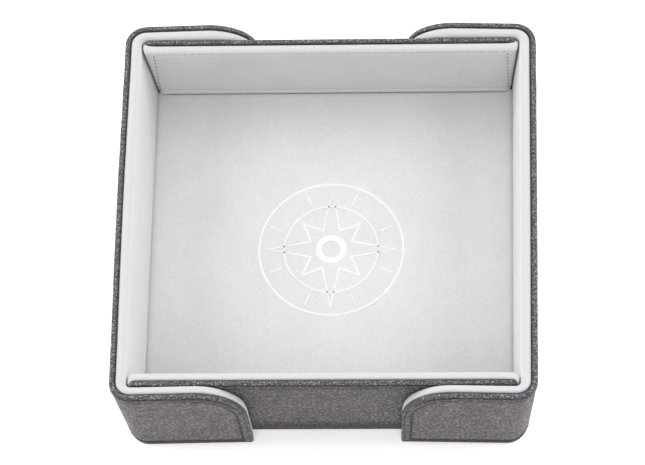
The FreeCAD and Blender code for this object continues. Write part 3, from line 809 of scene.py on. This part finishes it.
def make_emblem():
    """A plain compass star between two rings, printed on the floor."""
    grids = Grids()
    ribbon(grids, ring_points(36.0), 1.3)
    ribbon(grids, ring_points(23.5), 0.9)
    ribbon(grids, ring_points(6.2, 48), 3.2)
    star = []
    for k in range(16):
        angle = math.pi / 2 + k * math.pi / 8
        radius = (31.5 if k % 4 == 0 else 20.0) if k % 2 == 0 else 11.0
        star.append((radius * math.cos(angle), radius * math.sin(angle)))
    ribbon(grids, star, 1.1)
    for k in range(8):
        angle = math.pi / 8 + k * math.pi / 4
        spot = np.array([math.cos(angle), math.sin(angle)])
        ribbon(grids, [spot * 26.5, spot * 33.0], 0.9, closed=False)
    piece = grids.make("floor_emblem", as_it_is)
    piece.data.materials.append(MATERIALS["print"])
    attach(piece, "base")


# ---------------------------------------------------------------- side walls
def foot_arc(radius, start, stop, count=12):
    """(v, w) spots on a wall's foot rounding, by the angle from the wall's face."""
    angles = np.linspace(start, stop, count)
    return [(FOOT_WALL - radius * math.sin(a), FOOT - radius * math.cos(a)) for a in angles]


def wall_stations():
    return np.linspace(-SEAM, SEAM, 225)


def leather_relief(u, v, w):
    """Faint hand-made unevenness of the outer face."""
    return np.where(w < 0.6, 0.05, 0.015) * waves(11, 17, u, v)


def make_wall(side_name):
    side = SIDES[side_name]
    body = side_name + "_wall"
    full = math.pi / 2 - LEAN

    def place(u, v, w):
        return strip(side, 1, u, v, w)

    outer = foot_arc(FOOT, full, 0) + [(v, 0) for v in np.linspace(FOOT_WALL + 1.2, WALL_TOP - 10.5, 26)]
    top = [(WALL_TOP - e, w) for e, w in LEATHER_EDGE]
    back = [(v, SKIN) for v in np.linspace(WALL_TOP - 3, FOOT_WALL, 12)] + foot_arc(FOOT - SKIN, 0.12, full)
    # painted shade over the lower part of the foot rounding, then the rim's painted shade and painted glints
    marks = [(0.9 * (1 - float(smooth(3.4, 4.9, v))), 0) for v, w in outer]
    marks += list(zip(LEATHER_PAINTED_SHADE, LEATHER_PAINTED_GLINT)) + [(0, 0)] * len(back)
    leather = sweep(body + "_skin", outer + top + back, wall_stations(), place, leather_relief, marks)
    dress(leather, "leather")
    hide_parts(body + "_leather", side_name + "_fold_leather")
    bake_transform(leather)

    hidden = [wall_spot(FLOOR_SEAM, BOARD_TOP + .02)] + foot_arc(FOOT - RIM - .02, full, 0.0, 8)
    hidden += [(v, RIM + .02) for v in np.linspace(FOOT_WALL + 3, WALL_TOP - 4, 10)]
    over = [(WALL_TOP - e, w) for e, w in VELVET_EDGE[::-1]]
    face = [(v, WALL_DEPTH) for v in np.linspace(WALL_TOP - 9.5, 10.5, 26)]
    face += [(9.2, 7.78), (8.0, 7.74), (7.1, 7.66), (6.3, 7.5), (5.7, 7.26), (5.2, 6.95)]
    crease = [(90.15, 4.75), (89.75, 5.02), (89.3, 5.24), (88.8, 5.38), (88.2, 5.47),
              (FLOOR_SEAM, FLOOR_TOP)]
    section = hidden + over + face + [wall_spot(x, z) for x, z in crease]

    def relief(u, v, w):
        crown = 0.30 * np.sin(math.pi * np.clip((v - 9) / (WALL_TOP - 13), 0, 1))
        uneven = 0.12 * waves(21 + side, 30, u, v) + 0.05 * waves(27 + side, 9, u, v)
        on_face = smooth(5.0, 7.0, w) * smooth(6.5, 11, v)
        ends = smooth(0, 6, SEAM - np.abs(u))
        return on_face * (crown + ends * uneven)

    def free(spot):
        x, y, z = spot.T
        v, w = wall_spot(side * x, z)
        return inside(9, WALL_TOP - 3, v, 6) * inside(-SEAM, SEAM, y, 6) * (w > 6.5)

    velvet = sweep(body + "_lining", section, wall_stations(), place, relief)
    puff(velvet, free)
    dress(velvet, "velvet")
    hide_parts(body + "_velvet", side_name + "_fold_velvet")
    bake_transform(velvet)

    row = Grids()
    stitch_row(row, [(u, WALL_TOP - STITCH_IN) for u in np.linspace(-SEAM, SEAM, 400)], level(0.30))
    stitches = row.make(body + "_stitches", place, weld=False)
    dress(stitches, "thread")
    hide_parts(body + "_stitching")
    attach(stitches, body)


# ---------------------------------------------------------------- corners and wings
def wing_panel():
    corners = [(SEAM, 0), (STRIP_END, 0), (STRIP_END, WALL_TOP), (SEAM, WALL_TOP)]
    return Panel(corners, (0, TOE_ROUND, WING_END, 0), (True, True, True, False), (92, 60), (0, 3, 22, 0))


WING_LOWER_ENDS = (86, 96)      # steps along a wing's edge where its lower edge ends
WING_RIM_STARTS = (134, 164)    # and where its rim starts


def lower_share(count):
    """1 along a wing's lower edge, 0 round its end and along its rim."""
    return 1 - smooth(*WING_LOWER_ENDS, np.arange(count))


def wing_marks(row, count):
    """Painted shade and painted glints round a wing: the outer painted shade fades out round its end, and
    the turned-under lower edge gets painted shade.
    """
    place = np.arange(count)
    low = lower_share(count)
    at_rim = smooth(*WING_RIM_STARTS, place)
    stitch_groove = 2 < row < 6
    rim = at_rim if row < 15 and not stitch_groove else np.ones(count)
    painted_shade = LEATHER_PAINTED_SHADE[row] * rim * (1 - low) + LOWER_PAINTED_SHADE[row] * low
    return np.column_stack([painted_shade, LEATHER_PAINTED_GLINT[row] * at_rim])


def make_wing(end_name, side_name):
    end, side = ENDS[end_name], SIDES[side_name]
    body = "%s_%s_wing" % (end_name, side_name)
    corner = "%s_%s_corner" % (end_name, side_name)
    panel = wing_panel()
    seed = 40 + 2 * end + side

    def place(u, v, w):
        return strip(side, end, u, v, w)

    def blend(piece):
        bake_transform(piece)

    def skin_relief(u, v):
        return leather_relief(u * end, v, 0 * u)

    leather = panel.shell(body + "_skin", LEATHER_EDGE, place, skin_relief, LOWER_EDGE, lower_share,
                          wing_marks)
    dress(leather, "leather")
    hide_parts(body + "_leather", corner + "_leather")
    blend(leather)

    thinning = (FLAP_DEPTH - RIM) / (WALL_DEPTH - RIM)

    def velvet_place(u, v, w):
        share = 1 + (thinning - 1) * smooth(SEAM, ROUND_END, u)
        return place(u, v, RIM + (w - RIM) * share)

    def velvet_relief(u, v):
        past_seam = smooth(SEAM, SEAM + 5, u)
        crown = 0.30 * np.sin(math.pi * np.clip((v - 5) / (WALL_TOP - 10), 0, 1))
        return crown * (1 - 0.8 * past_seam) + past_seam * 0.10 * waves(seed, 24, u, v)

    velvet = panel.shell(body + "_lining", VELVET_EDGE, velvet_place, velvet_relief)
    dress(velvet, "velvet")
    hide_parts(body + "_velvet", corner + "_velvet")
    blend(velvet)

    row = Grids()
    line = panel.chain(STITCH_IN)
    line[:, 1] -= (STITCH_IN - WING_LOW_ROW) * (1 - smooth(STITCH_IN, 3 * STITCH_IN, line[:, 1]))
    stitch_row(row, line, level(0.30))
    stitches = row.make(body + "_stitches", place, weld=False)
    dress(stitches, "thread")
    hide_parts(body + "_stitching")
    blend(stitches)


# ---------------------------------------------------------------- flaps
def flap_panel(low, inset=0.0):
    half = HEM_LOW + (low - STIFF) * HEM_RISE - inset * (low - 3) / FLAP_TOP
    high = HEM_HIGH - inset
    corners = [(-half, low), (half, low), (high, FLAP_TOP), (-high, FLAP_TOP)]
    return Panel(corners, (0, 0, FLAP_ROUND, FLAP_ROUND), (False, True, True, True), (210, 76), (0, 0, 5, 5))


FLAP_ENDS_STOP = (72, 86)       # steps along a flap's edge where its ends turn into its rim


def end_share(count):
    """1 along a flap's two ends, 0 along its rim."""
    place = np.arange(count)
    return 1 - smooth(*FLAP_ENDS_STOP, np.minimum(place, count - 1 - place))


# painted shade and painted glints along a flap's rim, alike at every spot of a row
def rim_marks(row, count):
    return np.column_stack([np.full(count, LEATHER_PAINTED_SHADE[row]), np.full(count, LEATHER_PAINTED_GLINT[row])])


def foot_shade(u, v):
    """Painted shade on the turned-under band below a flap's lower stitches."""
    return 0.82 * (1 - smooth(7.2, 9.0, v)) + 0 * u


FAR = 1e3      # a distance past every other


def stitch_frame(u, v, inset=STITCH_IN):
    """Distance from the closed row of stitches round a flap, its top row inset from the rim."""
    across = np.abs(np.abs(u) - CORE)
    low = np.abs(v - FLAP_LOW_ROW)
    high = np.abs(v - (FLAP_TOP - inset))
    within = np.minimum(low, high) + FAR * (np.abs(u) > CORE + 1)
    outside = (v < FLAP_LOW_ROW - 1) | (v > FLAP_TOP - inset + 1)
    return np.minimum(within, across + FAR * outside)


def frame_line():
    low, high = FLAP_LOW_ROW, FLAP_TOP - STITCH_IN
    bends = [(-CORE, low), (CORE, low), (CORE, high), (-CORE, high), (-CORE, low)]
    line = []
    for start, stop in zip(bends, bends[1:]):
        line += list(np.linspace(start, stop, 90)[:-1])
    return line


def inner_rows():
    """The bobbin side of a flap's stitches: the pull of the thread hides all but its end columns."""
    low, high = FLAP_LOW_ROW, FLAP_TOP - INNER_IN
    yield "rows", [[(-CORE, v), (CORE, v)] for v in (low, high)], 0.53, "bobbin"
    yield "columns", [[(side * CORE, low), (side * CORE, high)] for side in (-1, 1)], 0.24, "thread"


def make_flap(end_name):
    end = ENDS[end_name]
    body = end_name + "_flap"

    def place(u, v, w):
        return flap(end, u, v, w)

    def skin_relief(u, v):
        groove = 0.22 * np.exp(-(stitch_frame(u, v) / 0.9) ** 2)
        return (groove + leather_relief(u * end, v + 7, 0 * u)) * smooth(FOOT_FLAP, FOOT_FLAP + 3, v)

    def lining_relief(u, v):
        groove = 0.42 * np.exp(-(stitch_frame(u, v, INNER_IN) / 1.1) ** 2)
        on_face = smooth(0, 12, CORE - np.abs(u)) * smooth(9, 20, v)
        on_face = on_face * smooth(0, 10, FLAP_TOP - STITCH_IN - v)
        sides = smooth(CORE, CORE + 3, np.abs(u)) * 0.7
        foot = 0.5 * (1 - smooth(4.8, 7.0, v))
        uneven = 0.07 * waves(60 + end, 22, u, v) + 0.05 * waves(64 + end, 8, u, v)
        return -groove - sides - foot + on_face * (0.25 + uneven)

    def flat_place(u, v, w):
        return flap_flat(end, u, v, w)

    low = FOOT_FLAP - HEEL * HEEL_TURN - (FOOT + 0.18 - FOOT_FLAP)
    wholes = {
        "leather": flap_panel(low, HEM_WRAP).shell(body + "_skin_whole", LEATHER_EDGE, place, skin_relief,
                                                   marks=rim_marks, shade=foot_shade),
        "velvet": flap_panel(3.3).shell(body + "_lining_whole", FLAP_VELVET, flat_place, lining_relief,
                                        END_VELVET, end_share),
    }

    def free(spot):
        x, y, z = spot.T
        facing = end * y < FLAP_TOE - FLAP_DEPTH + 1.2
        across = inside(-CORE + 1, CORE - 1, x, 6)
        return across * inside(FLAP_LOW_ROW + 1, FLAP_TOP - INNER_IN - 1, z, 6) * facing

    puff(wholes["velvet"], free)
    for layer, finish in (("skin", "leather"), ("lining", "velvet")):
        whole = wholes[finish]
        core = parted(whole, body + "_" + layer, [((CORE, 0, 0), (1, 0, 0)), ((-CORE, 0, 0), (-1, 0, 0))])
        dress(core, finish)
        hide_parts(body + "_" + finish, end_name + "_fold_" + finish)
        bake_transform(core)
        for side_name, side in SIDES.items():
            hem = parted(whole, "%s_%s_%s_hem" % (body, side_name, layer),
                         [((side * CORE, 0, 0), (-side, 0, 0)), ((0, 0, HEM_FOOT), (0, 0, -1))])
            dress(hem, finish)
            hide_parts(body + "_hems")
            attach(hem, body)
            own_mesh(hem)
        bpy.data.objects.remove(whole)

    row = Grids()
    stitch_row(row, frame_line(), level(0.26))
    stitches = row.make(body + "_stitches", place, weld=False)
    dress(stitches, "thread")
    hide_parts(body + "_stitching")
    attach(stitches, body)
    for part, lines, depth, finish in inner_rows():
        row = Grids()
        for line in lines:
            stitch_row(row, line, level(FLAP_DEPTH - depth, velvet=True), height=0.4, length=1.5)
        inner = row.make("%s_inner_%s" % (body, part), place, weld=False)
        dress(inner, finish)
        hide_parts(body + "_stitching")
        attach(inner, body)


# ---------------------------------------------------------------- the frame's own pieces
def dress_frame():
    """Boards, magnets and the base's leather keep their own shape and get a finish."""
    for name, piece in frame["nodes"].items():
        if piece.hide_render:
            continue
        kind = "greyboard" if "board" in name else "magnet" if "magnets" in name else "leather"
        piece.data.materials.clear()
        piece.data.materials.append(MATERIALS[kind])


# ---------------------------------------------------------------- stage, light and camera
def make_stage():
    mesh = bpy.data.meshes.new("table_top")
    reach = 2.0
    corners = [(-reach, -reach, 0), (reach, -reach, 0), (reach, reach, 0), (-reach, reach, 0)]
    mesh.from_pydata(corners, [], [(0, 1, 2, 3)])
    table = bpy.data.objects.new("table_top", mesh)
    table.location.z = -0.00005
    bpy.context.scene.collection.objects.link(table)
    material, tree, shader, place = new_material("white_table", (0.82, 0.81, 0.79), 0.9, 0.1)
    grain = node(tree, "TexNoise", {"Vector": place, "Scale": 300.0, "Detail": 3.0})
    link(tree, ramp(tree, grain.outputs["Fac"], [(0.3, (0.81, 0.80, 0.78)), (0.7, (0.84, 0.83, 0.81))]),
         shader.inputs["Base Color"])
    shader.inputs["Emission Color"].default_value = (1, 1, 1, 1)
    shader.inputs["Emission Strength"].default_value = 0.26
    mesh.materials.append(material)


def area_light(name, spot, size, power):
    data = bpy.data.lights.new(name, "AREA")
    data.shape = "SQUARE"
    data.size = size
    data.energy = power
    lamp = bpy.data.objects.new(name, data)
    lamp.location = spot
    lamp.rotation_euler = (-Vector(spot)).to_track_quat("-Z", "Y").to_euler()
    bpy.context.scene.collection.objects.link(lamp)


def make_light():
    world = bpy.data.worlds.new("studio")
    world.use_nodes = True
    world.node_tree.nodes["Background"].inputs["Color"].default_value = (1, 1, 1, 1)
    world.node_tree.nodes["Background"].inputs["Strength"].default_value = 0.64
    bpy.context.scene.world = world
    area_light("left_softbox", (-1.25, 0.35, 0.65), 1.3, 24.5)
    area_light("right_softbox", (1.25, 0.35, 0.65), 1.3, 22.0)
    area_light("back_softbox", (0.0, 0.85, 1.2), 1.0, 3.0)
    area_light("front_softbox", (0.0, -1.0, 1.2), 1.0, 9.5)


def make_camera():
    """The eye looks down from the front, a little from the right, with the tray turned in the frame."""
    azimuth, elevation, roll = math.radians(7.553), math.radians(63.666), math.radians(-7.145)
    target = Vector((-4.92, 12.00, 0))
    distance = 1864.3
    back = Vector((math.sin(azimuth) * math.cos(elevation), -math.cos(azimuth) * math.cos(elevation),
                   math.sin(elevation)))
    right = (-back).cross(Vector((0, 0, 1))).normalized()
    up = right.cross(-back)
    across = right * math.cos(roll) + up * math.sin(roll)
    upward = up * math.cos(roll) - right * math.sin(roll)
    data = bpy.data.cameras.new("camera")
    data.sensor_width = 36
    data.lens = 208.4
    data.clip_start = 0.1
    data.clip_end = 20
    camera = bpy.data.objects.new("camera", data)
    turn = Matrix((across, upward, back)).transposed()
    camera.matrix_world = Matrix.Translation((target + back * distance) * MM) @ turn.to_4x4()
    bpy.context.scene.collection.objects.link(camera)
    bpy.context.scene.camera = camera


make_camera()
make_light()
make_stage()
make_floor()
make_corner_shade_tabs()
make_emblem()
for wall_name in SIDES:
    make_wall(wall_name)
for flap_name in ENDS:
    make_flap(flap_name)
    for wall_name in SIDES:
        make_wing(flap_name, wall_name)
dress_frame()
bpy.context.scene.view_settings.view_transform = "Standard"
